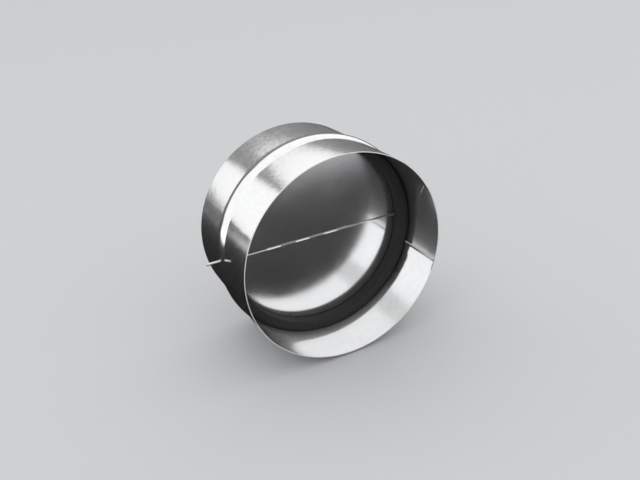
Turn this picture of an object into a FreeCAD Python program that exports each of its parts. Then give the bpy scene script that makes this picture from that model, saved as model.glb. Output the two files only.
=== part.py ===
import FreeCAD, Part
import math
import os
import Sketcher

# Duct backdraft damper: a rolled sheet casing with a ring bead, two half-round blades on one
# hinge pin, and a torsion spring on the pin that swings the blades shut against a foam ring.
# Each piece is drawn with the duct's axis along z and the inlet side up, then laid level:
# the pin runs along X, air flows along +Y, +Z is up and the origin is the casing's middle.

Vector = FreeCAD.Vector
Rotation = FreeCAD.Rotation

ACROSS = Vector(1, 0, 0)
UPRIGHT = Vector(0, 1, 0)
ALONG_DUCT = Vector(0, 0, 1)
QUARTER_TURN = 90
HALF_TURN = 180
FULL_TURN = 360

# The spring's coil is wound as tangent arcs, this many to a turn
CORNERS_PER_TURN = 4
JOIN_TOLERANCE = 1e-6

# Sketch point positions, and the sketch's own x axis and origin
START, END, CENTRE = 1, 2, 3
X_LINE = -1
ORIGIN = (-1, 1)

doc = FreeCAD.newDocument("backdraft_damper")

# Driving sizes, in millimetres and degrees
DRIVING_SIZES = (
    ("casing_diameter", "159", "outside of the spigots, for a nominal 160 mm duct"),
    ("casing_length", "93", "rim to rim"),
    ("casing_sheet", "0.6", "galvanised sheet of the casing"),
    ("bead_width", "15.2", "ring bead, foot to foot"),
    ("bead_height", "1.8", "ring bead, above the spigots"),
    ("bead_foot_radius", "1.5", "bend at each foot of the bead"),
    ("lap_width", "9", "overlap of the rolled sheet, around the casing"),
    ("lap_angle", "16.1", "cut edge of the overlap, below the pin's right end"),
    ("pin_diameter", "2", "steel wire of the hinge pin"),
    ("pin_overhang", "10", "pin past the spigot's surface, each end"),
    ("pin_chamfer", "0.3", "broken edge at the pin's ends"),
    ("pin_offset", "5.9", "pin's axis from the casing's middle, towards the outlet"),
    ("pin_hole_clearance", "0.1", "around the pin in the casing's holes"),
    ("gasket_depth", "7.9", "foam ring, from the spigot's bore inwards"),
    ("gasket_setback", "0.3", "foam ring's front face behind the bead's foot"),
    ("gasket_rounding", "1.5", "foam ring's inner edges"),
    ("gasket_crease", "2.6", "foam ring's rounded front corner, next to the casing"),
    ("gasket_glue", "0.1", "glue line between foam ring and bead"),
    ("seat_gap", "0.15", "closed blades from the foam ring"),
    ("blade_sheet", "0.5", "aluminium sheet of the blades"),
    ("blade_margin", "3.9", "blade's round edge from the spigot's bore"),
    ("corner_length", "6", "relieved corner, along the straight edge"),
    ("corner_relief", "0.7", "relieved corner, from the straight edge"),
    ("slot_pitch", "12.2", "knuckle to knuckle along the pin"),
    ("slot_gap", "0.4", "between neighbouring knuckles"),
    ("hinge_clearance", "0.05", "between the blades and what lies behind them on the pin"),
    ("knuckle_slope", "33", "sheet's turn towards the pin at the root of a knuckle"),
    ("knuckle_clearance", "0.05", "between pin and knuckle"),
    ("knuckle_wrap", "280", "turn of the rolled knuckle about the pin"),
    ("knuckle_lead", "1.2", "flat root of a knuckle on the blade, from the straight edge"),
    ("wire_diameter", "0.6", "wire of the torsion spring"),
    ("coil_clearance", "0.2", "between pin and coil"),
    ("coil_turns", "5", "turns of the torsion spring"),
    ("coil_pitch", "1.6", "turn to turn along the pin"),
    ("leg_reach", "30", "spring leg, from the pin to its tip on the blade"),
    ("leg_gap", "0.1", "spring leg's tip from the blade"),
)

# Sizes that follow from the driving ones
DERIVED_SIZES = (
    ("casing_radius", "=casing_diameter / 2", "outer face of the spigots"),
    ("bore_radius", "=casing_radius - casing_sheet", "inner face of the spigots"),
    ("sheet_middle", "=casing_radius - casing_sheet / 2", "middle of the sheet"),
    ("half_length", "=casing_length / 2", "casing's middle to a rim"),
    ("bead_half", "=bead_width / 2", "casing's middle to a foot of the bead"),
    ("crest_radius", "=(bead_half ^ 2 + bead_height ^ 2) / (2 * bead_height) - bead_foot_radius",
     "bead's round crest"),
    ("crest_centre", "=casing_radius + bead_height - crest_radius", "crest's centre from the axis"),
    ("lap_radius", "=bore_radius - casing_sheet", "inner face of the overlap"),
    ("lap_turn", "=lap_width / bore_radius * 180 / pi", "angle that the overlap covers"),
    ("pin_radius", "=pin_diameter / 2", "hinge pin"),
    ("pin_length", "=casing_diameter + 2 * pin_overhang", "hinge pin, end to end"),
    ("pin_hole_radius", "=pin_radius + pin_hole_clearance", "holes in the casing"),
    ("knuckle_bore", "=pin_radius + knuckle_clearance", "inside of a rolled knuckle"),
    ("knuckle_radius", "=knuckle_bore + blade_sheet", "outside of a rolled knuckle"),
    ("knuckle_length", "=slot_pitch - slot_gap", "one knuckle along the pin"),
    ("gasket_front", "=bead_half - gasket_setback", "front face, from the casing's middle"),
    ("gasket_bore", "=bore_radius - gasket_depth", "inside of the foam ring"),
    ("gasket_arc", "=crest_radius - casing_sheet - gasket_glue", "outer side, within the bead"),
    ("coil_radius", "=pin_radius + coil_clearance + wire_diameter / 2", "coil's mean radius"),
    ("wire_radius", "=wire_diameter / 2", "spring wire"),
    ("blade_back", "=max(knuckle_radius; coil_radius + wire_radius) + hinge_clearance",
     "blades' outlet side, from the pin's axis"),
    ("blade_front", "=blade_back + blade_sheet", "blades' inlet side, from the pin's axis"),
    ("gasket_back", "=pin_offset - blade_front - seat_gap", "seat, from the casing's middle"),
    ("blade_radius", "=bore_radius - blade_margin", "round edge of the blades"),
    ("slope_start", "=knuckle_radius * sin(knuckle_slope * 1 deg)", "slope's start past the pin's axis"),
    ("slope_height", "=blade_front - knuckle_radius * cos(knuckle_slope * 1 deg)", "rise of the slope"),
    ("blade_edge", "=slope_height / tan(knuckle_slope * 1 deg) - slope_start",
     "straight edge from the pin's axis"),
    ("knuckle_root", "=blade_edge + knuckle_lead", "end of a knuckle's flat root, from the pin's axis"),
    ("corner_start", "=blade_radius - corner_length", "relieved corner from the duct's axis"),
    ("corner_depth", "=blade_edge + corner_relief", "relieved corner from the pin's axis"),
    ("coil_start", "=3 * slot_pitch - coil_pitch * coil_turns / 2", "coil's first end"),
    ("leg_height", "=blade_back - wire_radius - leg_gap", "leg's tip, from the pin's axis"),
)

sizes = doc.addObject("Spreadsheet::Sheet", "sizes")
for row, (alias, entry, note) in enumerate(DRIVING_SIZES + DERIVED_SIZES, start=1):
    sizes.set("A%d" % row, alias)
    sizes.set("B%d" % row, entry)
    sizes.set("C%d" % row, note)
    sizes.setAlias("B%d" % row, alias)
doc.recompute()


def size(alias):
    return float(getattr(sizes, alias))


def bind(item, **expressions):
    for name, expression in expressions.items():
        item.setExpression(name.replace("__", "."), expression)


def new_body(label):
    body = doc.addObject("PartDesign::Body", label)
    body.Label = label
    return body


def origin_feature(body, role):
    return next(item for item in body.Origin.OriginFeatures if item.Role == role)


def new_sketch(body, name, role):
    sketch = body.newObject("Sketcher::SketchObject", name)
    sketch.AttachmentSupport = [(origin_feature(body, role), "")]
    sketch.MapMode = "FlatFace"
    return sketch


def add_line(sketch, start, end):
    return sketch.addGeometry(Part.LineSegment(Vector(*start, 0), Vector(*end, 0)), False)


def add_arc(sketch, centre, radius, first, last):
    circle = Part.Circle(Vector(*centre, 0), ALONG_DUCT, radius)
    return sketch.addGeometry(Part.ArcOfCircle(circle, first, last), False)


def constrain(sketch, kind, *where):
    sketch.addConstraint(Sketcher.Constraint(kind, *where))


def dimension(sketch, alias, kind, *where):
    index = sketch.addConstraint(Sketcher.Constraint(kind, *where, size(alias)))
    sketch.setExpression("Constraints[%d]" % index, "sizes." + alias)


def locate(sketch, kind, point, alias):
    """Hold one coordinate of a point at a size, on the minus side if the name has a minus."""
    if alias.startswith("-"):
        dimension(sketch, alias[1:], kind, *point, *ORIGIN)
    else:
        dimension(sketch, alias, kind, *ORIGIN, *point)


def signed_size(alias):
    return -size(alias[1:]) if alias.startswith("-") else size(alias)


def add_rectangle(sketch, left, right, bottom, top):
    """Draw a rectangle between two pairs of named sizes."""
    x_low, x_high = signed_size(left), signed_size(right)
    y_low, y_high = signed_size(bottom), signed_size(top)
    corners = [(x_low, y_low), (x_high, y_low), (x_high, y_high), (x_low, y_high)]
    sides = [add_line(sketch, corners[i], corners[(i + 1) % 4]) for i in range(4)]
    for i in range(4):
        constrain(sketch, "Coincident", sides[i], END, sides[(i + 1) % 4], START)
        constrain(sketch, "Vertical" if i % 2 else "Horizontal", sides[i])
    locate(sketch, "DistanceX", (sides[0], START), left)
    locate(sketch, "DistanceY", (sides[0], START), bottom)
    locate(sketch, "DistanceX", (sides[2], START), right)
    locate(sketch, "DistanceY", (sides[2], START), top)


def add_circle(sketch, x_alias, y_alias, radius_alias):
    """Draw a circle about a point given by named sizes; None is zero."""
    x_place = signed_size(x_alias) if x_alias else 0
    y_place = signed_size(y_alias) if y_alias else 0
    circle = Part.Circle(Vector(x_place, y_place, 0), ALONG_DUCT, size(radius_alias))
    ring = sketch.addGeometry(circle, False)
    for kind, alias, axis in (("DistanceX", x_alias, X_LINE - 1), ("DistanceY", y_alias, X_LINE)):
        if alias:
            locate(sketch, kind, (ring, CENTRE), alias)
        else:
            constrain(sketch, "PointOnObject", ring, CENTRE, axis)
    dimension(sketch, radius_alias, "Radius", ring)


def add_feature(body, kind, name, sketch, **expressions):
    feature = body.newObject("PartDesign::" + kind, name)
    feature.Profile = sketch
    bind(feature, **expressions)
    return feature


def repeat_along_pin(body, name, feature, copies):
    pattern = body.newObject("PartDesign::LinearPattern", name)
    pattern.Originals = [feature]
    pattern.Direction = (origin_feature(body, "X_Axis"), [""])
    pattern.Mode = "Spacing"
    pattern.Occurrences = copies
    bind(pattern, Offset="2 * sizes.slot_pitch")
    body.Tip = pattern
    doc.recompute()
    return pattern


def lay_level(body, on_pin=True, turned=0):
    """Turn a finished piece from its drawing position into the part's frame."""
    body.Placement = FreeCAD.Placement(
        Vector(0, 0, 0), Rotation(ACROSS, QUARTER_TURN) * Rotation(ALONG_DUCT, turned))
    if on_pin:
        bind(body, Placement__Base__y="sizes.pin_offset")


# Casing: one sheet profile with a ring bead, revolved, with the overlap of its seam inside
def sheet_face(sketch, wall, step):
    """Draw one face of the sheet from rim to rim; step is its distance inside the outer face."""
    half, foot = size("half_length"), size("bead_half")
    bend, crest = size("bead_foot_radius"), size("crest_radius")
    bend_centre = size("casing_radius") + bend
    lean = math.asin(foot / (crest + bend))
    low_wall = add_line(sketch, (wall, -half), (wall, -foot))
    low_bend = add_arc(sketch, (bend_centre, -foot), bend + step, math.pi - lean, math.pi)
    top = add_arc(sketch, (size("crest_centre"), 0), crest - step, -lean, lean)
    high_bend = add_arc(sketch, (bend_centre, foot), bend + step, math.pi, math.pi + lean)
    high_wall = add_line(sketch, (wall, foot), (wall, half))
    constrain(sketch, "Vertical", low_wall)
    constrain(sketch, "Vertical", high_wall)
    constrain(sketch, "Tangent", low_wall, END, low_bend, END)
    constrain(sketch, "Tangent", low_bend, START, top, START)
    constrain(sketch, "Tangent", top, END, high_bend, END)
    constrain(sketch, "Tangent", high_bend, START, high_wall, START)
    return low_wall, low_bend, top, high_bend, high_wall


def make_casing():
    body = new_body("casing")
    profile = new_sketch(body, "sheet_profile", "XZ_Plane")
    half, outer_wall, inner_wall = size("half_length"), size("casing_radius"), size("bore_radius")
    outer = sheet_face(profile, outer_wall, 0)
    inner = sheet_face(profile, inner_wall, size("casing_sheet"))
    outlet_rim = add_line(profile, (inner_wall, -half), (outer_wall, -half))
    inlet_rim = add_line(profile, (inner_wall, half), (outer_wall, half))
    for rim, wall, end in ((outlet_rim, 0, START), (inlet_rim, 4, END)):
        constrain(profile, "Horizontal", rim)
        constrain(profile, "Coincident", rim, START, inner[wall], end)
        constrain(profile, "Coincident", rim, END, outer[wall], end)
    for outer_arc, inner_arc in list(zip(outer, inner))[1:4]:
        constrain(profile, "Coincident", outer_arc, CENTRE, inner_arc, CENTRE)
    constrain(profile, "PointOnObject", outer[2], CENTRE, X_LINE)
    dimension(profile, "crest_radius", "Radius", outer[2])
    for bend in (outer[1], outer[3]):
        dimension(profile, "bead_foot_radius", "Radius", bend)
    dimension(profile, "casing_sheet", "DistanceX", inlet_rim, START, inlet_rim, END)
    locate(profile, "DistanceX", (outlet_rim, END), "casing_radius")
    locate(profile, "DistanceY", (outlet_rim, END), "-half_length")
    locate(profile, "DistanceY", (inlet_rim, END), "half_length")
    locate(profile, "DistanceY", (outer[0], END), "-bead_half")
    locate(profile, "DistanceY", (outer[4], START), "bead_half")
    wall = add_feature(body, "Revolution", "rolled_sheet", profile)
    wall.ReferenceAxis = (profile, ["V_Axis"])
    wall.Angle = FULL_TURN
    doc.recompute()

    overlap_profile = new_sketch(body, "overlap_profile", "XZ_Plane")
    overlap_profile.AttachmentOffset = FreeCAD.Placement(Vector(0, 0, 0), Rotation(-UPRIGHT, 1))
    bind(overlap_profile, AttachmentOffset__Rotation__Angle="sizes.lap_angle")
    add_rectangle(overlap_profile, "lap_radius", "sheet_middle", "bead_half", "half_length")
    add_rectangle(overlap_profile, "lap_radius", "sheet_middle", "-half_length", "-bead_half")
    overlap = add_feature(body, "Revolution", "overlap", overlap_profile, Angle="sizes.lap_turn")
    overlap.ReferenceAxis = (overlap_profile, ["V_Axis"])
    overlap.Reversed = True
    doc.recompute()

    hole_outline = new_sketch(body, "pin_hole_outline", "YZ_Plane")
    add_circle(hole_outline, None, "-pin_offset", "pin_hole_radius")
    holes = add_feature(body, "Pocket", "pin_holes", hole_outline, Length="2 * sizes.casing_diameter")
    holes.SideType = "Symmetric"
    doc.recompute()
    lay_level(body, on_pin=False)
    return body


# Foam ring: a strip with rounded edges that fills the bead from inside
def make_gasket():
    body = new_body("blade_gasket")
    profile = new_sketch(body, "strip_profile", "XZ_Plane")
    bore, rounding, arc_radius = size("gasket_bore"), size("gasket_rounding"), size("gasket_arc")
    front, back, centre = size("gasket_front"), -size("gasket_back"), size("crest_centre")
    crease = size("gasket_crease")
    low, high = math.asin(back / arc_radius), math.asin((front - crease) / (arc_radius - crease))
    outer_low = centre + arc_radius * math.cos(low)
    crease_centre = centre + (arc_radius - crease) * math.cos(high)
    seat = add_line(profile, (bore + rounding, back), (outer_low, back))
    glued = add_arc(profile, (centre, 0), arc_radius, low, high)
    outer_edge = add_arc(profile, (crease_centre, front - crease), crease, high, math.pi / 2)
    face = add_line(profile, (crease_centre, front), (bore + rounding, front))
    face_edge = add_arc(profile, (bore + rounding, front - rounding), rounding, math.pi / 2, math.pi)
    inside = add_line(profile, (bore, front - rounding), (bore, back + rounding))
    seat_edge = add_arc(profile, (bore + rounding, back + rounding), rounding, math.pi, 1.5 * math.pi)
    constrain(profile, "Horizontal", seat)
    constrain(profile, "Horizontal", face)
    constrain(profile, "Vertical", inside)
    constrain(profile, "Coincident", seat, END, glued, START)
    constrain(profile, "Tangent", glued, END, outer_edge, START)
    constrain(profile, "Tangent", outer_edge, END, face, START)
    constrain(profile, "Tangent", face, END, face_edge, START)
    constrain(profile, "Tangent", face_edge, END, inside, START)
    constrain(profile, "Tangent", inside, END, seat_edge, START)
    constrain(profile, "Tangent", seat_edge, END, seat, START)
    constrain(profile, "PointOnObject", glued, CENTRE, X_LINE)
    locate(profile, "DistanceX", (glued, CENTRE), "crest_centre")
    dimension(profile, "gasket_arc", "Radius", glued)
    dimension(profile, "gasket_crease", "Radius", outer_edge)
    for edge in (face_edge, seat_edge):
        dimension(profile, "gasket_rounding", "Radius", edge)
    locate(profile, "DistanceX", (inside, START), "gasket_bore")
    locate(profile, "DistanceY", (face, START), "gasket_front")
    locate(profile, "DistanceY", (seat, END), "-gasket_back")
    ring = add_feature(body, "Revolution", "foam_ring", profile)
    ring.ReferenceAxis = (profile, ["V_Axis"])
    ring.Angle = FULL_TURN
    lay_level(body, on_pin=False)
    return body


# Hinge pin: plain steel wire with broken edges
def make_pin():
    body = new_body("hinge_pin")
    outline = new_sketch(body, "pin_outline", "YZ_Plane")
    add_circle(outline, None, None, "pin_radius")
    rod = add_feature(body, "Pad", "pin_rod", outline, Length="sizes.pin_length")
    rod.SideType = "Symmetric"
    doc.recompute()
    rounds = ["Edge%d" % (i + 1) for i, edge in enumerate(rod.Shape.Edges)
              if isinstance(edge.Curve, Part.Circle)]
    chamfer = body.newObject("PartDesign::Chamfer", "pin_ends")
    chamfer.Base = (rod, rounds)
    bind(chamfer, Size="sizes.pin_chamfer")
    lay_level(body)
    return body


# Blade: a half disc with three knuckles on its straight edge, rolled about the pin
def roll_knuckle(body, slot):
    """Roll one knuckle: the sheet slopes across the pin's inlet side and curls behind it."""
    outline = new_sketch(body, "knuckle_outline", "YZ_Plane")
    bind(outline, AttachmentOffset__Base__z="%d * sizes.slot_pitch" % slot)
    inside, outside, lead = size("knuckle_bore"), size("knuckle_radius"), size("knuckle_root")
    behind, front, edge = size("blade_back"), size("blade_front"), size("blade_edge")
    lean = math.radians(size("knuckle_slope"))
    first = math.pi / 2 + lean
    last = first + math.radians(size("knuckle_wrap"))
    first_way = Vector(math.cos(first), math.sin(first), 0)
    last_way = Vector(math.cos(last), math.sin(last), 0)
    inner_start, outer_start = first_way * inside, first_way * outside
    back_edge = inner_start.x + (behind - inner_start.y) / math.tan(lean)
    face = add_line(outline, (lead, front), (edge, front))
    slope = add_line(outline, (edge, front), outer_start[:2])
    outer_curl = add_arc(outline, (0, 0), outside, first, last)
    lip = add_line(outline, (last_way * outside)[:2], (last_way * inside)[:2])
    inner_curl = add_arc(outline, (0, 0), inside, first, last)
    inner_slope = add_line(outline, inner_start[:2], (back_edge, behind))
    back = add_line(outline, (back_edge, behind), (lead, behind))
    root = add_line(outline, (lead, behind), (lead, front))
    constrain(outline, "Horizontal", face)
    constrain(outline, "Horizontal", back)
    constrain(outline, "Vertical", root)
    constrain(outline, "Parallel", slope, inner_slope)
    constrain(outline, "Coincident", outer_curl, CENTRE, *ORIGIN)
    constrain(outline, "Coincident", inner_curl, CENTRE, *ORIGIN)
    constrain(outline, "Coincident", face, END, slope, START)
    constrain(outline, "Tangent", slope, END, outer_curl, START)
    constrain(outline, "Coincident", outer_curl, END, lip, START)
    constrain(outline, "PointOnObject", *ORIGIN, lip)
    constrain(outline, "Coincident", lip, END, inner_curl, END)
    constrain(outline, "Tangent", inner_curl, START, inner_slope, START)
    constrain(outline, "Coincident", inner_slope, END, back, START)
    constrain(outline, "Coincident", back, END, root, START)
    constrain(outline, "Coincident", root, END, face, START)
    dimension(outline, "knuckle_radius", "Radius", outer_curl)
    dimension(outline, "knuckle_bore", "Radius", inner_curl)
    locate(outline, "DistanceX", (root, START), "knuckle_root")
    locate(outline, "DistanceY", (root, START), "blade_back")
    locate(outline, "DistanceY", (root, END), "blade_front")
    for item, alias in ((outer_curl, "knuckle_wrap"), (inner_slope, "knuckle_slope")):
        turn = math.radians(size(alias))
        index = outline.addConstraint(Sketcher.Constraint("Angle", item, turn))
        outline.setExpression("Constraints[%d]" % index, "sizes.%s * 1 deg" % alias)
    knuckle = add_feature(body, "Pad", "knuckle", outline, Length="sizes.knuckle_length")
    knuckle.SideType = "Symmetric"
    doc.recompute()
    return knuckle


def make_blade(label, first_knuckle, turned):
    body = new_body(label)
    outline = new_sketch(body, "half_disc_outline", "XY_Plane")
    bind(outline, AttachmentOffset__Base__z="sizes.blade_back")
    radius, edge = size("blade_radius"), size("blade_edge")
    low = math.asin(edge / radius)
    half_chord = radius * math.cos(low)
    round_edge = add_arc(outline, (0, 0), radius, low, math.pi - low)
    straight_edge = add_line(outline, (-half_chord, edge), (half_chord, edge))
    constrain(outline, "Coincident", round_edge, CENTRE, *ORIGIN)
    constrain(outline, "Coincident", round_edge, END, straight_edge, START)
    constrain(outline, "Coincident", straight_edge, END, round_edge, START)
    constrain(outline, "Horizontal", straight_edge)
    dimension(outline, "blade_radius", "Radius", round_edge)
    locate(outline, "DistanceY", (straight_edge, START), "blade_edge")
    add_feature(body, "Pad", "half_disc", outline, Length="sizes.blade_sheet")
    doc.recompute()

    corner_outline = new_sketch(body, "corner_outline", "XY_Plane")
    add_rectangle(corner_outline, "corner_start", "casing_radius", "-corner_depth", "corner_depth")
    add_rectangle(corner_outline, "-casing_radius", "-corner_start", "-corner_depth", "corner_depth")
    corners = add_feature(body, "Pocket", "corners", corner_outline, Length="4 * sizes.blade_front")
    corners.SideType = "Symmetric"
    doc.recompute()

    repeat_along_pin(body, "knuckles", roll_knuckle(body, first_knuckle), 3)
    lay_level(body, turned=turned)
    return body


# Torsion spring: one wire, wound about the pin, with a straight leg behind each blade
def rounded_path(points, setback):
    """Join points by straight runs and arcs, each arc tangent to its runs a setback from its point."""
    edges = []
    run_start = points[0]
    for before, corner, after in zip(points, points[1:], points[2:]):
        way_in = (corner - before).normalize()
        way_out = (after - corner).normalize()
        bend = way_in.getAngle(way_out)
        inward = (way_out - way_in).normalize()
        arc_radius = setback / math.tan(bend / 2)
        arc_start = corner - way_in * setback
        arc_middle = corner + inward * arc_radius * (1 / math.cos(bend / 2) - 1)
        arc_end = corner + way_out * setback
        if run_start.distanceToPoint(arc_start) > JOIN_TOLERANCE:
            edges.append(Part.LineSegment(run_start, arc_start).toShape())
        edges.append(Part.Arc(arc_start, arc_middle, arc_end).toShape())
        run_start = arc_end
    edges.append(Part.LineSegment(run_start, points[-1]).toShape())
    return edges


def make_spring():
    step = 2 * math.pi / CORNERS_PER_TURN
    winding_radius, pitch = size("coil_radius"), size("coil_pitch")
    corner_radius = winding_radius / math.cos(step / 2)
    corner_count = round(size("coil_turns") * CORNERS_PER_TURN)
    first_angle = -math.pi / 2 + step / 2
    leg_reach, leg_height = size("leg_reach"), size("leg_height")
    points = [Vector(size("coil_start"), -leg_reach, leg_height)]
    for i in range(corner_count):
        angle = first_angle + i * step
        place = size("coil_start") + pitch * i / CORNERS_PER_TURN
        points.append(Vector(place, corner_radius * math.cos(angle), corner_radius * math.sin(angle)))
    points.append(Vector(points[-1].x, leg_reach, leg_height))
    half_run = points[1].distanceToPoint(points[2]) / 2
    edges = rounded_path(points, half_run)
    path = Part.Wire(edges)
    section = Part.Circle(points[0], points[1] - points[0], size("wire_radius")).toShape()
    wire = path.makePipe(Part.Face(Part.Wire(section)))
    spring = doc.addObject("Part::Feature", "closing_spring")
    spring.Label = "closing_spring"
    spring.Shape = wire
    lay_level(spring)
    return spring


pieces = [
    make_casing(),
    make_gasket(),
    make_pin(),
    make_blade("upper_blade", first_knuckle=-2, turned=0),
    make_blade("lower_blade", first_knuckle=-1, turned=HALF_TURN),
    make_spring(),
]
doc.recompute()

# Nothing is written unless every feature worked and each piece is one valid solid
failed = [item.Name for item in doc.Objects if "Invalid" in item.State or "Error" in item.State]
if failed:
    raise RuntimeError("failed features: %s" % failed)
for piece in pieces:
    if piece.Shape.isNull() or not piece.Shape.isValid() or len(piece.Shape.Solids) != 1:
        raise RuntimeError("%s is not one valid solid" % piece.Label)

os.makedirs("parts", exist_ok=True)
for piece in pieces:
    piece.Shape.exportStep("parts/%s.step" % piece.Label)
    box = piece.Shape.optimalBoundingBox()
    print("%-15s volume %9.1f mm3, box %.2f x %.2f x %.2f mm" % (
        piece.Label, piece.Shape.Volume, box.XLength, box.YLength, box.ZLength))
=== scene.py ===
import math

import bmesh
import bpy
from mathutils import Matrix, Vector, noise


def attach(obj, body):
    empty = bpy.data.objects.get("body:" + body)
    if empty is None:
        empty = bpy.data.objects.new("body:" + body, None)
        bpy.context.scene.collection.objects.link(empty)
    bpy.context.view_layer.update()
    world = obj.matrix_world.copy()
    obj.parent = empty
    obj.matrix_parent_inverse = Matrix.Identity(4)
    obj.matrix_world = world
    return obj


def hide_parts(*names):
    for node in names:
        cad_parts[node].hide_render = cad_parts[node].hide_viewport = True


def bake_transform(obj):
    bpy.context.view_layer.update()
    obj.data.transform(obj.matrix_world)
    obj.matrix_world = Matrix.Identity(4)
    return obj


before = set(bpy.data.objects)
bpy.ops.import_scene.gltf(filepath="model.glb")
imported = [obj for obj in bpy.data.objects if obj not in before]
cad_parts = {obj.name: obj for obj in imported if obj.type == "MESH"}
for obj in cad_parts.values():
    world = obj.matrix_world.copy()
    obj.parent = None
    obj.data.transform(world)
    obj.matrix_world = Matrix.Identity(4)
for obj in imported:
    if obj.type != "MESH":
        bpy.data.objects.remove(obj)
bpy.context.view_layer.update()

# Duct backdraft damper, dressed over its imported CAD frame: +X along the hinge pin, +Y with the air
# flow, +Z up. Lengths of the part are in millimetres, those of the camera and the studio in metres.
# Scales of textures are in cells or waves per metre.

MM = 0.001
QUARTER_TURN = math.pi / 2
FULL_TURN = 2 * math.pi
SHARP_ANGLE = math.radians(50)

# Casing
CASING_RADIUS = 79.5
CASING_SHEET = 0.6
HALF_LENGTH = 46.5
BEAD_HALF = 7.6
BEAD_FOOT_RADIUS = 1.5
CREST_RADIUS = 15.444
CREST_CENTRE = 65.856
RIM_ROUNDING = 0.16
RIM_EDGE = HALF_LENGTH - 0.6 * RIM_ROUNDING
CASING_SEGMENTS = 480
SPIGOT_STEPS = 22
FOOT_STEPS = 7
CREST_STEPS = 30
RIM_STEPS = 4

# Waviness of the rolled spigots, which dies out towards the bead
SHEET_WAVE = 0.07
SHEET_WAVE_EASING = 12
SHEET_WAVE_LENGTH = 45
SHEET_WAVE_ROUND = 3

# Overlap of the casing's seam: a curled lip, then a strip. The lip's points are a distance from
# the sheet's edge and a height above the wall.
LAP_EDGE = math.radians(-16.1)
LAP_WIDTH = 9.0
LAP_ROOT = -0.1
LAP_LIP = [(0.0, LAP_ROOT), (0.0, 0.45), (0.08, 0.62), (0.25, 0.78), (0.45, 0.85), (0.7, 0.83),
           (1.0, 0.75), (1.3, 0.65), (1.55, 0.57)]
LAP_CURL = 1.8
LAP_LOW = 0.5
LAP_HIGH = 0.72
LAP_EDGE_WIDTH = 0.6
LAP_STEPS = 12
LAP_ROWS = 30

# Hinge
PIN_OFFSET = 5.9
PIN_HOLE_RADIUS = 1.1
DRILL_LENGTH = 2.5 * CASING_RADIUS
DRILL_SIDES = 40

# Foam ring
GASKET_BORE = 71.0
GASKET_FRONT = -7.3
GASKET_BACK = 3.4
GASKET_ARC = 14.744
GASKET_ROUNDING = 1.5
GASKET_CREASE = 2.6
GASKET_SEGMENTS = 640
GASKET_WALL_STEPS = 14
GASKET_BACK_STEPS = 10
GASKET_FRONT_STEPS = 8
GASKET_ROUNDING_STEPS = 8
GASKET_CREASE_STEPS = 10

# Unevenness of the foam, which dies out towards the wall: heights and waves per millimetre
FOAM_WAVE_END = 77.0
FOAM_WAVE_EASING = 3
FOAM_FINE_WAVE, FOAM_FINE_RATE = 0.10, 0.9
FOAM_LONG_WAVE, FOAM_LONG_RATE = 0.12, 0.12

# Blades; lift is a height towards the inlet and reach a distance up or down, both from the pin
BLADE_RADIUS = 75.0
BLADE_SHEET = 0.5
BLADE_FRONT = 2.35
KNUCKLE_RADIUS = 1.55
KNUCKLE_SLOPE = math.radians(33)
KNUCKLE_WRAP = math.radians(280)
KNUCKLE_HALF = 5.9
KNUCKLE_BEND = 0.55
KNUCKLE_BEND_STEPS = 5
KNUCKLE_WRAP_STEPS = 40
SLOT_PITCH = 12.2
UPPER_SLOTS = (-2, 0, 2)
LOWER_SLOTS = (-3, -1, 1)
BLADE_EDGE = ((BLADE_FRONT - KNUCKLE_RADIUS * math.cos(KNUCKLE_SLOPE)) / math.tan(KNUCKLE_SLOPE)
              - KNUCKLE_RADIUS * math.sin(KNUCKLE_SLOPE))
CORNER_START = 69.0
CORNER_DEPTH = BLADE_EDGE + 0.7
RELIEF_DEPTH = 0.3
RELIEF_WIDTH = 0.15
BLADE_RIM_STEPS = 180
BLADE_EASING = 0.09
BLADE_EASING_STEPS = 2
BLADE_EASING_ANGLE = math.radians(40)

# Torsion spring
WIRE_RADIUS = 0.3
WIRE_SIDES = 14
DOME_LENGTH = 0.5
DOME_WIDTH = 0.55
COIL_RADIUS = 1.5
COIL_TURNS = 5
COIL_FIRST_X = 32.6
COIL_LAST_X = 40.2
COIL_MIDDLE_X = (COIL_FIRST_X + COIL_LAST_X) / 2
COIL_STEPS = 80
LEG_REACH = 30.0
LEG_TIP_Y = 4.45
LEG_STEPS = 12

# Colours
ZINC_DARK, ZINC_PALE = (0.78, 0.785, 0.79), (0.90, 0.902, 0.904)
ZINC_WEATHERED = (0.45, 0.455, 0.46)
ZINC_SCRATCHED = (0.87, 0.87, 0.87)
EDGE_DARK, EDGE_PALE = (0.72, 0.72, 0.72), (0.93, 0.93, 0.925)
ALUMINIUM_DARK, ALUMINIUM_PALE = (0.84, 0.845, 0.855), (0.93, 0.932, 0.935)
ALUMINIUM_SPECK = (0.5, 0.5, 0.51)
# Painted shade on the knuckles in the hinge, behind the blades' front face
KNUCKLE_SHADE_GREY = (0.42, 0.42, 0.425)
FOAM_DARK, FOAM_PALE = (0.009, 0.009, 0.010), (0.024, 0.024, 0.026)
FOAM_DUST = (0.05, 0.05, 0.05)
# Painted shade in the foam's crease along the wall
CREASE_SHADE_BLACK = (0.007, 0.007, 0.008)
PIN_DARK, PIN_PALE = (0.52, 0.52, 0.51), (0.78, 0.78, 0.77)
SPRING_DARK, SPRING_PALE = (0.42, 0.42, 0.43), (0.66, 0.66, 0.67)
# Painted shade on the pin inside the casing
PIN_SHADE_BLACK = (0.05, 0.048, 0.045)
FLOOR_GREY = (0.62, 0.63, 0.645)

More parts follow.
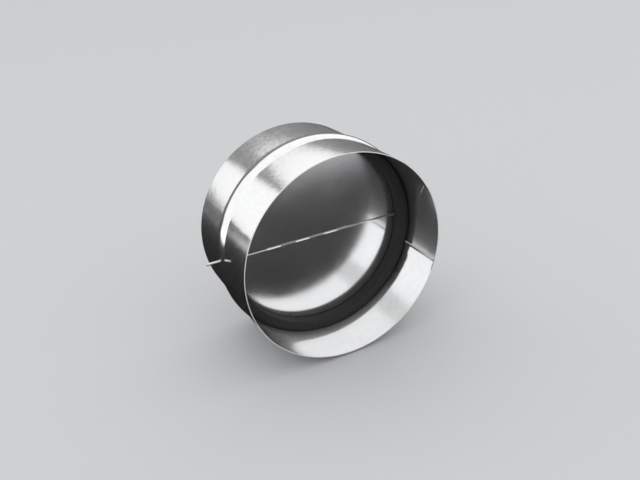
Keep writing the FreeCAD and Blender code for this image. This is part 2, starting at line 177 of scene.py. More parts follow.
# Places of marks in the materials. The scratch on the casing's inner face has its place round the
# rolled-flat sheet and along the duct.
SCRATCH_PLACE = (-190.7, -37.4)
SCRATCH_TURN = math.radians(-43.6)
SCRATCH_HALF = 10.0
SCRATCH_CORE, SCRATCH_EDGE = 0.2, 0.5
DUST_TOP, DUST_BOTTOM = -45, -77
# Knuckles, rougher and darker as painted shade: where the mark starts and is full along the flow, and its
# reach from the pin
FORMED_SHADED_FIRST_Y, FORMED_SHADED_LAST_Y = 3.6, 3.9
FORMED_SHADED_REACH = 3.0
# Painted shade in the foam: radii where it starts and where it is full
CREASE_SHADE_INNER, CREASE_SHADE_OUTER = 75.6, 77.4
# Painted shade on the pin: full within the first distance from the middle, gone at the second
PIN_SHADE_FULL_X, PIN_SHADE_END_X = 72, 76
CRYSTAL_SCALE = 420
FINE_CRYSTAL_SCALE = 1150
PIT_SCALE = 40000

# Camera at the photograph's viewing angle
CAMERA_PLACE = (-0.18785, -0.39550, 0.21143)
CAMERA_RIGHT = (0.88628, -0.45841, -0.06609)
CAMERA_UP = (0.25502, 0.36390, 0.89585)
CAMERA_BACK = (-0.38661, -0.81083, 0.43942)
CAMERA_SENSOR = 36
CAMERA_LENS = 35.23
CAMERA_NEAR = 0.01

# Floor and the black card on it, a painted reflection; the card's bands are (near, far, grey) by distance
# from the centre
FLOOR_DEPTH = (CASING_RADIUS + 1.85) * MM
FLOOR_HALF = 8
CARD_HALF = 6
CARD_LIFT = 0.00002
CARD_BLACK = (0.012, 0.012, 0.013)
CARD_BANDS = ((0.14, 0.28, 0.016), (0.28, 0.5, 0.03), (0.5, 0.8, 0.125))
CARD_BLUENESS = 1.03
# Painted light on the card's far left part behind the part
CARD_PAINTED_LIGHT = (0.55, 0.55, 0.56)
CARD_FRONT_DARK, CARD_FRONT_PALE = (0.028, 0.028, 0.029), (0.58, 0.58, 0.59)
CARD_LEFT_DARK, CARD_LEFT_PALE = (0.03, 0.03, 0.031), (0.34, 0.34, 0.345)
# Painted light: strength of the glow on the card's far left parts
CARD_PAINTED_GLOW = 0.9

# Studio; edges are (middle, half width) along a unit direction or an angle in radians
FRONT_EDGE = (0.1, 0.15)
LEFT_EDGE = (math.radians(16), 0.025)
LEFT_SIDE = (0.1, 0.05)
LEFT_SLANT_TOP, LEFT_SLANT = 0.29, 0.72
OVERHEAD_EDGE = (0.458, 0.018)
OVERHEAD_BOW, OVERHEAD_TILT = 0.64, 0.06
DIM_BOTTOM, DIM_TOP = -0.25, 0.42
DIM_LOW, DIM_HIGH = 0.1, 0.33
BRIGHT_LEVEL = 1.25
GAP_WAY = (-0.359, -0.736, 0.574)
GAP_RIM, GAP_CORE = 0.981, 0.994
GAP_SHARE = 0.58
DIFFUSE_SHARE = 0.83


# Mesh helpers
def make_piece(name, builder, material):
    """Turn a bmesh in millimetres into an object in metres."""
    bmesh.ops.recalc_face_normals(builder, faces=builder.faces)
    bmesh.ops.scale(builder, vec=(MM, MM, MM), verts=builder.verts)
    for face in builder.faces:
        face.smooth = True
    mesh = bpy.data.meshes.new(name)
    builder.to_mesh(mesh)
    builder.free()
    mesh.materials.append(material)
    piece = bpy.data.objects.new(name, mesh)
    bpy.context.scene.collection.objects.link(piece)
    return piece


def arc(centre, radius, first, last, steps):
    """Points (r, y) along an arc, both ends included; angles in degrees from +r towards +y."""
    points = []
    for i in range(steps + 1):
        angle = math.radians(first + (last - first) * i / steps)
        points.append((centre[0] + radius * math.cos(angle), centre[1] + radius * math.sin(angle)))
    return points


def straight(start, end, steps):
    """Points along a straight run, without its two ends."""
    return [tuple(a + (b - a) * i / steps for a, b in zip(start, end)) for i in range(1, steps)]


def revolve(builder, profile, segments, shift):
    """Sweep a closed (r, y) profile round the duct's axis; shift moves each point outwards."""
    rings = []
    for i in range(segments):
        angle = FULL_TURN * i / segments
        ring = []
        for r, y in profile:
            out = r + shift(r, y, angle)
            ring.append(builder.verts.new((out * math.cos(angle), y, out * math.sin(angle))))
        rings.append(ring)
    for i, ring in enumerate(rings):
        join_rings(builder, ring, rings[(i + 1) % segments])


def join_rings(builder, ring, following):
    """Fill the band between two closed rings of vertices."""
    count = len(ring)
    for j in range(count):
        k = (j + 1) % count
        builder.faces.new((ring[j], ring[k], following[k], following[j]))


def tube(builder, points, radius, sides):
    """Sweep a round wire along points, with domed ends."""
    ways = []
    for i in range(len(points)):
        before, after = points[max(i - 1, 0)], points[min(i + 1, len(points) - 1)]
        ways.append((after - before).normalized())
    side = ways[0].orthogonal().normalized()
    stations = [(points[0] - ways[0] * radius * DOME_LENGTH, ways[0], DOME_WIDTH)]
    stations += [(point, way, 1.0) for point, way in zip(points, ways)]
    stations.append((points[-1] + ways[-1] * radius * DOME_LENGTH, ways[-1], DOME_WIDTH))
    rings = []
    for point, way, share in stations:
        side = (side - way * side.dot(way)).normalized()
        across = way.cross(side)
        ring = []
        for j in range(sides):
            angle = FULL_TURN * j / sides
            ring.append(builder.verts.new(
                point + (side * math.cos(angle) + across * math.sin(angle)) * radius * share))
        rings.append(ring)
    for ring, following in zip(rings, rings[1:]):
        join_rings(builder, ring, following)
    builder.faces.new(rings[0][::-1])
    builder.faces.new(rings[-1])


# Node helpers
def new_material(name):
    material = bpy.data.materials.new(name)
    material.use_nodes = True
    return material, material.node_tree, material.node_tree.nodes["Principled BSDF"]


def add_node(tree, kind, sockets=None, **settings):
    """Add a node; each socket is given a value or another node's output."""
    node = tree.nodes.new(kind)
    for name, value in settings.items():
        setattr(node, name, value)
    for socket, value in (sockets or {}).items():
        if isinstance(value, bpy.types.NodeSocket):
            tree.links.new(value, node.inputs[socket])
        else:
            node.inputs[socket].default_value = value
    return node


def link(tree, output, shader, socket):
    tree.links.new(output, shader.inputs[socket])


def maths(tree, operation, first, second=0.0):
    return add_node(tree, "ShaderNodeMath", {0: first, 1: second}, operation=operation).outputs[0]


def times(tree, first, second):
    return maths(tree, "MULTIPLY", first, second)


def plus(tree, first, second):
    return maths(tree, "ADD", first, second)


def minus(tree, first, second):
    return maths(tree, "SUBTRACT", first, second)


def larger(tree, first, second):
    return maths(tree, "MAXIMUM", first, second)


def size_of(tree, value):
    """A value without its sign."""
    return maths(tree, "ABSOLUTE", value)


def remap(tree, value, low, high, to_low=0.0, to_high=1.0):
    """Straight ramp from to_low to to_high, held level beyond low and high."""
    sockets = {"Value": value, "From Min": low, "From Max": high, "To Min": to_low, "To Max": to_high}
    return add_node(tree, "ShaderNodeMapRange", sockets).outputs["Result"]


def vector_maths(tree, operation, first, second=(0, 0, 0)):
    return add_node(tree, "ShaderNodeVectorMath", {0: first, 1: second}, operation=operation)


def stretch(tree, vector, factors):
    return vector_maths(tree, "MULTIPLY", vector, factors).outputs[0]


def split_axes(tree, vector):
    """The three axes of a vector, by name."""
    return add_node(tree, "ShaderNodeSeparateXYZ", {0: vector}).outputs


def noise_value(tree, vector, scale=1.0, detail=2.0, roughness=0.5):
    sockets = {"Vector": vector, "Scale": scale, "Detail": detail, "Roughness": roughness}
    return add_node(tree, "ShaderNodeTexNoise", sockets).outputs["Fac"]


def cell_value(tree, vector, scale):
    """One random number for each cell of a crystal pattern."""
    cells = add_node(tree, "ShaderNodeTexVoronoi", {"Vector": vector, "Scale": scale})
    split = add_node(tree, "ShaderNodeSeparateColor", {"Color": cells.outputs["Color"]})
    return split.outputs["Red"]


def fine_pits(tree, vector, share, roughness):
    """Dull pits, far too small to see singly, that give the sheet's shine a soft haze."""
    pits = maths(tree, "LESS_THAN", cell_value(tree, vector, PIT_SCALE), share)
    return times(tree, pits, roughness)


def blend_colour(tree, share, first, second):
    """Mix two colours, each a triple or another node's output."""
    node = add_node(tree, "ShaderNodeMix", {0: share}, data_type="RGBA")
    for socket, colour in ((node.inputs[6], first), (node.inputs[7], second)):
        if isinstance(colour, tuple):
            socket.default_value = (*colour, 1)
        else:
            tree.links.new(colour, socket)
    return node.outputs[2]


def tilted_cells(tree, vector, scale, amount, normal):
    """Turn the normal a little, a different way in each cell of a crystal pattern."""
    cells = add_node(tree, "ShaderNodeTexVoronoi", {"Vector": vector, "Scale": scale})
    centred = vector_maths(tree, "SUBTRACT", cells.outputs["Color"], (0.5, 0.5, 0.5)).outputs[0]
    lean = stretch(tree, centred, (amount, amount, amount))
    whole = vector_maths(tree, "ADD", normal, lean).outputs[0]
    return vector_maths(tree, "NORMALIZE", whole).outputs[0]


def bump(tree, height, strength, distance, normal=None):
    """Bump of a height times a distance in metres, over another normal where one is given."""
    sockets = {"Height": height, "Strength": strength, "Distance": distance}
    if normal:
        sockets["Normal"] = normal
    return add_node(tree, "ShaderNodeBump", sockets).outputs["Normal"]


def object_place(tree):
    return add_node(tree, "ShaderNodeTexCoord").outputs["Object"]


def axis_distance(tree):
    """Distance from the duct's axis."""
    flat = stretch(tree, object_place(tree), (1, 0, 1))
    return vector_maths(tree, "LENGTH", flat).outputs["Value"]


def sheet_place(tree):
    """Place on the casing's sheet, rolled flat: round its circumference, then along the duct."""
    turned = add_node(tree, "ShaderNodeVectorRotate",
                      {"Vector": object_place(tree), "Axis": (0, 1, 0), "Angle": LAP_EDGE + math.pi})
    axes = split_axes(tree, turned.outputs[0])
    around = times(tree, maths(tree, "ARCTAN2", axes["Z"], axes["X"]), CASING_RADIUS * MM)
    along = split_axes(tree, object_place(tree))["Y"]
    return add_node(tree, "ShaderNodeCombineXYZ", {"X": around, "Y": along}).outputs[0]


def handling_marks(tree, place):
    """Faint hairlines and one short scratch, which all run the same way across the sheet."""
    centre = (SCRATCH_PLACE[0] * MM, SCRATCH_PLACE[1] * MM, 0)
    shifted = vector_maths(tree, "SUBTRACT", place, centre).outputs[0]
    turned = add_node(tree, "ShaderNodeVectorRotate",
                      {"Vector": shifted, "Axis": (0, 0, 1), "Angle": -SCRATCH_TURN}).outputs[0]
    hairs = noise_value(tree, stretch(tree, turned, (30, 1100, 1)), detail=1.0)
    hairs = times(tree, remap(tree, hairs, 0.62, 0.72), 0.3)
    axes = split_axes(tree, turned)
    length = remap(tree, size_of(tree, axes["X"]), 0.6 * SCRATCH_HALF * MM, SCRATCH_HALF * MM, 1.0, 0.0)
    width = remap(tree, size_of(tree, axes["Y"]), SCRATCH_CORE * MM, SCRATCH_EDGE * MM, 1.0, 0.0)
    return larger(tree, times(tree, length, width), hairs)


# Materials
def galvanised_sheet():
    """Bright zinc: crystals that each face a little apart, fine pits, streaks, scratches, low dust."""
    material, tree, shader = new_material("galvanised_sheet")
    place = sheet_place(tree)
    inner_face = maths(tree, "LESS_THAN", axis_distance(tree), (CASING_RADIUS - CASING_SHEET / 2) * MM)
    outer_face = minus(tree, 1.0, inner_face)
    height = split_axes(tree, object_place(tree))["Z"]
    dust = times(tree, remap(tree, height, DUST_TOP * MM, DUST_BOTTOM * MM), inner_face)

    crystals = cell_value(tree, place, CRYSTAL_SCALE)
    grain = noise_value(tree, place, scale=1700, detail=3.0)
    clouds = noise_value(tree, place, scale=55, detail=4.0, roughness=0.6)
    streaks = noise_value(tree, stretch(tree, place, (30, 900, 1)))
    mottle = plus(tree, times(tree, crystals, 0.4), times(tree, clouds, 0.6))
    lines = add_node(tree, "ShaderNodeTexVoronoi",
                     {"Vector": stretch(tree, place, (18, 170, 1)), "Scale": 1.0},
                     feature="DISTANCE_TO_EDGE").outputs["Distance"]
    scratches = times(tree, remap(tree, lines, 0.0, 0.012, 1.0, 0.0), remap(tree, clouds, 0.56, 0.64))

    weathered = times(tree, remap(tree, grain, 0.4, 0.62, 0.36, 0.0), outer_face)
    colour = blend_colour(tree, mottle, ZINC_DARK, ZINC_PALE)
    colour = blend_colour(tree, weathered, colour, ZINC_WEATHERED)
    colour = blend_colour(tree, times(tree, scratches, 0.5), colour, ZINC_SCRATCHED)
    link(tree, colour, shader, "Base Color")

    rough = remap(tree, plus(tree, mottle, times(tree, streaks, 0.3)), 0.3, 1.0, 0.07, 0.15)
    rough = plus(tree, rough, times(tree, scratches, 0.1))
    marks = times(tree, handling_marks(tree, place), inner_face)
    rough = larger(tree, rough, times(tree, marks, 0.6))
    pitted = plus(tree, times(tree, remap(tree, dust, 0.0, 1.0, 0.07, 0.36), inner_face), 0.03)
    link(tree, larger(tree, rough, fine_pits(tree, place, pitted, 0.42)), shader, "Roughness")
    link(tree, remap(tree, dust, 0.0, 1.0, 1.0, 0.87), shader, "Metallic")

    normal = add_node(tree, "ShaderNodeNewGeometry").outputs["Normal"]
    normal = tilted_cells(tree, place, CRYSTAL_SCALE, 0.005, normal)
    normal = tilted_cells(tree, place, FINE_CRYSTAL_SCALE, 0.013, normal)
    normal = bump(tree, grain, 0.12, 0.00003, normal)
    normal = bump(tree, clouds, 0.03, 0.0005, normal)
    link(tree, bump(tree, scratches, -0.4, 0.00004, normal), shader, "Normal")
    return material


def cut_edge():
    """Bare sheared edge of the sheet: pale, fine-grained and dull."""
    material, tree, shader = new_material("cut_edge")
    place = object_place(tree)
    grain = noise_value(tree, place, scale=1200, detail=3.0)
    patches = noise_value(tree, place, scale=90)
    tone = times(tree, plus(tree, grain, patches), 0.5)
    link(tree, blend_colour(tree, tone, EDGE_DARK, EDGE_PALE), shader, "Base Color")
    link(tree, remap(tree, grain, 0.3, 0.7, 0.42, 0.6), shader, "Roughness")
    shader.inputs["Metallic"].default_value = 0.35
    link(tree, bump(tree, grain, 0.3, 0.00005), shader, "Normal")
    return material


def blade_sheet():
    """Bright rolled aluminium: fine lines along the pin, smudges, soft waves, dull knuckles darkened as
    painted shade.
    """
    material, tree, shader = new_material("blade_sheet")
    place = object_place(tree)
    lines = noise_value(tree, stretch(tree, place, (25, 1800, 1800)), detail=3.0)
    smudges = noise_value(tree, place, scale=38, detail=4.0, roughness=0.6)
    waves = noise_value(tree, place, scale=14, detail=1.0)
    specks = remap(tree, noise_value(tree, place, scale=2200, detail=1.0), 0.68, 0.78)
    tone = plus(tree, times(tree, smudges, 0.8), times(tree, lines, 0.2))
    axes = split_axes(tree, place)
    near_pin = maths(tree, "LESS_THAN", size_of(tree, axes["Z"]), FORMED_SHADED_REACH * MM)
    formed_and_shaded = times(tree, remap(tree, axes["Y"], FORMED_SHADED_FIRST_Y * MM, FORMED_SHADED_LAST_Y * MM), near_pin)

    colour = blend_colour(tree, tone, ALUMINIUM_DARK, ALUMINIUM_PALE)
    colour = blend_colour(tree, times(tree, specks, 0.2), colour, ALUMINIUM_SPECK)
    # Painted shade on the knuckles, which the same mask also makes rougher
    link(tree, blend_colour(tree, formed_and_shaded, colour, KNUCKLE_SHADE_GREY), shader, "Base Color")
    rough = plus(tree, remap(tree, tone, 0.3, 0.75, 0.12, 0.2), times(tree, formed_and_shaded, 0.2))
    link(tree, larger(tree, rough, fine_pits(tree, place, 0.1, 0.36)), shader, "Roughness")
    shader.inputs["Metallic"].default_value = 1.0
    normal = bump(tree, lines, 0.05, 0.00003)
    link(tree, bump(tree, waves, 0.3, 0.0006, normal), shader, "Normal")
    return material


def foam():
    """Black cellular foam with open pores, a little dust and painted shade in the crease along the wall."""
    material, tree, shader = new_material("foam")
    place = object_place(tree)
    pores = add_node(tree, "ShaderNodeTexVoronoi", {"Vector": place, "Scale": 1300}).outputs["Distance"]
    patches = noise_value(tree, place, scale=120, detail=3.0)
    dust = remap(tree, noise_value(tree, place, scale=900, detail=3.0), 0.55, 0.75)
    # Painted shade: darker towards the crease at the wall
    crease_shade = remap(tree, axis_distance(tree), CREASE_SHADE_INNER * MM, CREASE_SHADE_OUTER * MM)
    colour = blend_colour(tree, pores, FOAM_DARK, FOAM_PALE)
    colour = blend_colour(tree, times(tree, dust, patches), colour, FOAM_DUST)
    link(tree, blend_colour(tree, crease_shade, colour, CREASE_SHADE_BLACK), shader, "Base Color")
    link(tree, remap(tree, pores, 0.0, 0.8, 0.7, 0.55), shader, "Roughness")
    shader.inputs["Specular IOR Level"].default_value = 0.26
    link(tree, bump(tree, pores, 0.35, 0.0002), shader, "Normal")
    return material


def wire(name, dark, pale, smooth, dull, shade_share=0.0):
    """Drawn steel wire with fine lines round it, dull patches and a share of painted shade inside the casing.
    """
    material, tree, shader = new_material(name)
    place = object_place(tree)
    rings = noise_value(tree, stretch(tree, place, (2600, 500, 500)))
    patches = noise_value(tree, place, scale=260, detail=3.0)
    tone = plus(tree, times(tree, rings, 0.4), times(tree, patches, 0.6))
    sideways = size_of(tree, split_axes(tree, place)["X"])
    # Painted shade: darker inside the casing, where the pin lies in the hinge gap
    pin_shade = remap(tree, sideways, PIN_SHADE_FULL_X * MM, PIN_SHADE_END_X * MM, shade_share, 0.0)
    colour = blend_colour(tree, pin_shade, blend_colour(tree, tone, dark, pale), PIN_SHADE_BLACK)
    link(tree, colour, shader, "Base Color")
    link(tree, remap(tree, tone, 0.3, 0.7, smooth, dull), shader, "Roughness")
    shader.inputs["Metallic"].default_value = 0.96
    link(tree, bump(tree, rings, 0.25, 0.00004), shader, "Normal")
    return material


# Pieces
def sheet_side(step):
    """One face of the casing's sheet, rim to rim; step is its distance inside the outer face."""
    wall = CASING_RADIUS - step
    bend_centre = CASING_RADIUS + BEAD_FOOT_RADIUS
    bend = BEAD_FOOT_RADIUS + step
    lean = math.degrees(math.asin(BEAD_HALF / (CREST_RADIUS + BEAD_FOOT_RADIUS)))
    end = HALF_LENGTH - RIM_ROUNDING
    support = end - RIM_ROUNDING
    side = [(wall, -support)] + straight((wall, -support), (wall, -BEAD_HALF), SPIGOT_STEPS)
    side += arc((bend_centre, -BEAD_HALF), bend, 180, 180 - lean, FOOT_STEPS)
    side += arc((CREST_CENTRE, 0), CREST_RADIUS - step, -lean, lean, CREST_STEPS)[1:-1]
    side += arc((bend_centre, BEAD_HALF), bend, 180 + lean, 180, FOOT_STEPS)
    side += straight((wall, BEAD_HALF), (wall, support), SPIGOT_STEPS) + [(wall, support)]
    return side


def sheet_wave(r, y, angle):
    """Slight unevenness of the rolled spigots, outwards; the same at any radius r."""
    free = min(1.0, max(0.0, (abs(y) - BEAD_HALF) / SHEET_WAVE_EASING))
    place = (SHEET_WAVE_ROUND * math.cos(angle), SHEET_WAVE_ROUND * math.sin(angle), y / SHEET_WAVE_LENGTH)
    return SHEET_WAVE * free * noise.noise(place)


def make_casing(material, edge_material):
    """The rolled sheet with its bead, bare rims and two pin holes."""
    outer_wall, inner_wall = CASING_RADIUS, CASING_RADIUS - CASING_SHEET
    end = HALF_LENGTH - RIM_ROUNDING
    profile = sheet_side(0)
    profile += arc((outer_wall - RIM_ROUNDING, end), RIM_ROUNDING, 0, 90, RIM_STEPS)
    profile += arc((inner_wall + RIM_ROUNDING, end), RIM_ROUNDING, 90, 180, RIM_STEPS)
    profile += sheet_side(CASING_SHEET)[::-1]
    profile += arc((inner_wall + RIM_ROUNDING, -end), RIM_ROUNDING, 180, 270, RIM_STEPS)
    profile += arc((outer_wall - RIM_ROUNDING, -end), RIM_ROUNDING, 270, 360, RIM_STEPS)

    builder = bmesh.new()
    revolve(builder, profile, CASING_SEGMENTS, sheet_wave)
    casing = make_piece("casing_sheet", builder, material)
    cut_pin_holes(casing)
    casing.data.materials.append(edge_material)
    for face in casing.data.polygons:
        if abs(face.center.y) / MM > RIM_EDGE:
            face.material_index = 1
    return casing


def cut_pin_holes(casing):
    """Drill the casing right through, along the pin."""
    builder = bmesh.new()
    across = Matrix.Translation((0, PIN_OFFSET * MM, 0)) @ Matrix.Rotation(QUARTER_TURN, 4, "Y")
    radius = PIN_HOLE_RADIUS * MM
    bmesh.ops.create_cone(builder, cap_ends=True, segments=DRILL_SIDES, radius1=radius, radius2=radius,
                          depth=DRILL_LENGTH * MM, matrix=across)
    mesh = bpy.data.meshes.new("drill")
    builder.to_mesh(mesh)
    builder.free()
    drill = bpy.data.objects.new("drill", mesh)
    bpy.context.scene.collection.objects.link(drill)
    cut = casing.modifiers.new("pin_holes", "BOOLEAN")
    cut.operation = "DIFFERENCE"
    cut.solver = "EXACT"
    cut.object = drill
    bpy.context.view_layer.update()
    shaped = casing.evaluated_get(bpy.context.evaluated_depsgraph_get())
    whole = bpy.data.meshes.new_from_object(shaped)
    casing.modifiers.remove(cut)
    casing.data = whole
    bpy.data.objects.remove(drill)
    whole.set_sharp_from_angle(angle=SHARP_ANGLE)


def make_lap(material, edge_material):
    """The overlap of the rolled sheet: a strip inside each spigot with a curled lip at its upper edge."""
    bore = CASING_RADIUS - CASING_SHEET
    strip = [(LAP_CURL + (LAP_WIDTH - LAP_CURL) * i / LAP_STEPS,
              LAP_LOW + (LAP_HIGH - LAP_LOW) * i / LAP_STEPS) for i in range(LAP_STEPS + 1)]
    outline = LAP_LIP + strip + [(LAP_WIDTH, LAP_ROOT)]
    end = HALF_LENGTH - RIM_ROUNDING
    builder = bmesh.new()
    for y_first, y_last in ((-end, -BEAD_HALF), (BEAD_HALF, end)):
        rows = []
        for i in range(LAP_ROWS + 1):
            y = y_first + (y_last - y_first) * i / LAP_ROWS
            row = []
            for across, height in outline:
                angle = LAP_EDGE - across / bore
                out = bore - height + sheet_wave(bore, y, angle)
                row.append(builder.verts.new((out * math.cos(angle), y, out * math.sin(angle))))
            rows.append(row)
        for row, following in zip(rows, rows[1:]):
            join_rings(builder, row, following)
        builder.faces.new(rows[0])
        builder.faces.new(rows[-1][::-1])
    lap = make_piece("lap_seam", builder, material)
    lap.data.materials.append(edge_material)
    for face in lap.data.polygons:
        if (LAP_EDGE - math.atan2(face.center.z, face.center.x)) * bore < LAP_EDGE_WIDTH:
            face.material_index = 1
    lap.data.set_sharp_from_angle(angle=SHARP_ANGLE)
    return lap


def foam_wave(r, y, angle):
    """Slight unevenness of the foam, outwards."""
    free = min(1.0, max(0.0, (FOAM_WAVE_END - r) / FOAM_WAVE_EASING))
    place = Vector((r * math.cos(angle), y, r * math.sin(angle)))
    return free * (FOAM_FINE_WAVE * noise.noise(place * FOAM_FINE_RATE)
                   + FOAM_LONG_WAVE * noise.noise(place * FOAM_LONG_RATE))


def make_gasket(material):
    """The foam ring inside the bead, with rounded bore edges and a pressed-in front crease."""
    front, back = GASKET_FRONT, GASKET_BACK
    crease_arc = GASKET_ARC - GASKET_CREASE
    low = math.degrees(math.asin((front + GASKET_CREASE) / crease_arc))
    high = math.degrees(math.asin(back / GASKET_ARC))
    crease_centre = (CREST_CENTRE + crease_arc * math.cos(math.radians(low)), front + GASKET_CREASE)
    bore_edge = GASKET_BORE + GASKET_ROUNDING
    back_round, front_round = back - GASKET_ROUNDING, front + GASKET_ROUNDING
    profile = arc((CREST_CENTRE, 0), GASKET_ARC, low, high, GASKET_WALL_STEPS)
    profile += straight(profile[-1], (bore_edge, back), GASKET_BACK_STEPS)
    profile += arc((bore_edge, back_round), GASKET_ROUNDING, 90, 180, GASKET_ROUNDING_STEPS)
    profile += straight((GASKET_BORE, back_round), (GASKET_BORE, front_round), GASKET_WALL_STEPS)
    profile += arc((bore_edge, front_round), GASKET_ROUNDING, 180, 270, GASKET_ROUNDING_STEPS)
    profile += straight((bore_edge, front), (crease_centre[0], front), GASKET_FRONT_STEPS)
    profile += arc(crease_centre, GASKET_CREASE, 270, 360 + low, GASKET_CREASE_STEPS)[:-1]

    builder = bmesh.new()
    revolve(builder, profile, GASKET_SEGMENTS, foam_wave)
    return make_piece("foam_ring", builder, material)


def knuckle_section():
    """Middle of a knuckle's sheet from its root to its lip: places and inlet-side normals."""
    middle = KNUCKLE_RADIUS - BLADE_SHEET / 2
    turn_in = (KNUCKLE_BEND + BLADE_SHEET / 2) * math.tan(KNUCKLE_SLOPE / 2)
    bend_centre = Vector((BLADE_EDGE + turn_in, BLADE_FRONT - BLADE_SHEET / 2 - KNUCKLE_BEND))
    section = []
    for i in range(KNUCKLE_BEND_STEPS + 1):
        angle = QUARTER_TURN + KNUCKLE_SLOPE * i / KNUCKLE_BEND_STEPS
        normal = Vector((math.cos(angle), math.sin(angle)))
        section.append((bend_centre + normal * KNUCKLE_BEND, normal))
    for i in range(KNUCKLE_WRAP_STEPS + 1):
        angle = QUARTER_TURN + KNUCKLE_SLOPE + KNUCKLE_WRAP * i / KNUCKLE_WRAP_STEPS
        normal = Vector((math.cos(angle), math.sin(angle)))
        section.append((normal * middle, normal))
    return section


def make_blade(name, slots, side, material):
    """A half disc of sheet with knuckles at some slots; side is 1 above the pin and -1 below it."""
    root = BLADE_EDGE + RELIEF_DEPTH
    flat_middle = BLADE_FRONT - BLADE_SHEET / 2
    spots, faces = [], []

    def spot(x, place, normal):
        spots.append((x, place, normal))
        return len(spots) - 1

    def flat_spot(x, reach):
        return spot(x, Vector((reach, flat_middle)), Vector((0, 1)))

    tip = math.asin(CORNER_DEPTH / BLADE_RADIUS)
    outline = []
    for i in range(BLADE_RIM_STEPS + 1):
        angle = tip + (math.pi - 2 * tip) * i / BLADE_RIM_STEPS
        outline.append(flat_spot(BLADE_RADIUS * math.cos(angle), BLADE_RADIUS * math.sin(angle)))
    outline.append(flat_spot(-CORNER_START, CORNER_DEPTH))
    outline.append(flat_spot(-CORNER_START, BLADE_EDGE))
    for slot in slots:
        left, right = slot * SLOT_PITCH - KNUCKLE_HALF, slot * SLOT_PITCH + KNUCKLE_HALF
        outline.append(flat_spot(left - RELIEF_WIDTH, BLADE_EDGE))
        outline.append(flat_spot(left - RELIEF_WIDTH, root))
        row = (flat_spot(left, root), flat_spot(right, root))
        outline += row
        outline.append(flat_spot(right + RELIEF_WIDTH, root))
        outline.append(flat_spot(right + RELIEF_WIDTH, BLADE_EDGE))
        for place, normal in knuckle_section():
            following = (spot(left, place, normal), spot(right, place, normal))
            faces.append((*row, *following[::-1]))
            row = following
    outline.append(flat_spot(CORNER_START, BLADE_EDGE))
    outline.append(flat_spot(CORNER_START, CORNER_DEPTH))
    faces.append(tuple(outline))

    def fold(x, place, normal, step):
        reach, lift = place + normal * step
        return Vector((x, PIN_OFFSET - lift, reach * side))

    # Both faces of the sheet, then a wall along each edge that only one face uses
    builder = bmesh.new()
    outsides = [builder.verts.new(fold(*where, BLADE_SHEET / 2)) for where in spots]
    insides = [builder.verts.new(fold(*where, -BLADE_SHEET / 2)) for where in spots]
    for face in faces:
        builder.faces.new([outsides[i] for i in face])
        builder.faces.new([insides[i] for i in face][::-1])
    uses = {}
    for face in faces:
        for a, b in zip(face, face[1:] + face[:1]):
            uses.setdefault(frozenset((a, b)), []).append((a, b))
    for edges in uses.values():
        if len(edges) == 1:
            a, b = edges[0]
            builder.faces.new((outsides[a], insides[a], insides[b], outsides[b]))
    blade = make_piece(name, builder, material)
    ease = blade.modifiers.new("eased_edges", "BEVEL")
    ease.width = BLADE_EASING * MM
    ease.segments = BLADE_EASING_STEPS
    ease.limit_method = "ANGLE"
    ease.angle_limit = BLADE_EASING_ANGLE
    blade.modifiers.new("flat_faces", "WEIGHTED_NORMAL")
    return blade


def make_spring(material):
    """Both halves of the torsion spring, each from the coil's middle to the tip of its leg."""
    half_sweep = math.pi * COIL_TURNS
    halves = []
    for name, side, last_x in (("spring_lower", -1, COIL_FIRST_X), ("spring_upper", 1, COIL_LAST_X)):
        points = []
        for i in range(COIL_STEPS + 1):
            share = i / COIL_STEPS
            angle = QUARTER_TURN + side * half_sweep * (1 - share)
            x = COIL_MIDDLE_X + (last_x - COIL_MIDDLE_X) * share
            points.append(Vector((
                x, PIN_OFFSET + COIL_RADIUS * math.sin(angle), COIL_RADIUS * math.cos(angle))))
        coil_out = points[-1]
        tip = Vector((last_x, LEG_TIP_Y, side * LEG_REACH))
        points += [coil_out.lerp(tip, i / LEG_STEPS) for i in range(1, LEG_STEPS + 1)]
        builder = bmesh.new()
        tube(builder, points, WIRE_RADIUS, WIRE_SIDES)
        halves.append(make_piece(name, builder, material))
    return halves


# Camera and studio
def add_camera():
    lens = bpy.data.cameras.new("camera")
    lens.sensor_width = CAMERA_SENSOR
    lens.lens = CAMERA_LENS
    lens.clip_start = CAMERA_NEAR
    camera = bpy.data.objects.new("camera", lens)
    camera.matrix_world = Matrix.Translation(CAMERA_PLACE) @ Matrix(
        (CAMERA_RIGHT, CAMERA_UP, CAMERA_BACK)).transposed().to_4x4()
    bpy.context.scene.collection.objects.link(camera)
    bpy.context.scene.camera = camera


def add_stage_plane(name, half, height):
    """A level square of matt floor grey; half is half its width."""
    mesh = bpy.data.meshes.new(name)
    corners = [(-half, -half, 0), (half, -half, 0), (half, half, 0), (-half, half, 0)]
    mesh.from_pydata(corners, [], [(0, 1, 2, 3)])
    plane = bpy.data.objects.new(name, mesh)
    plane.location = (0, 0, height)
    bpy.context.scene.collection.objects.link(plane)
    material, tree, shader = new_material(name)
    shader.inputs["Base Color"].default_value = (*FLOOR_GREY, 1)
    shader.inputs["Roughness"].default_value = 0.9
    shader.inputs["Specular IOR Level"].default_value = 0.1
    mesh.materials.append(material)
    return plane, tree, shader


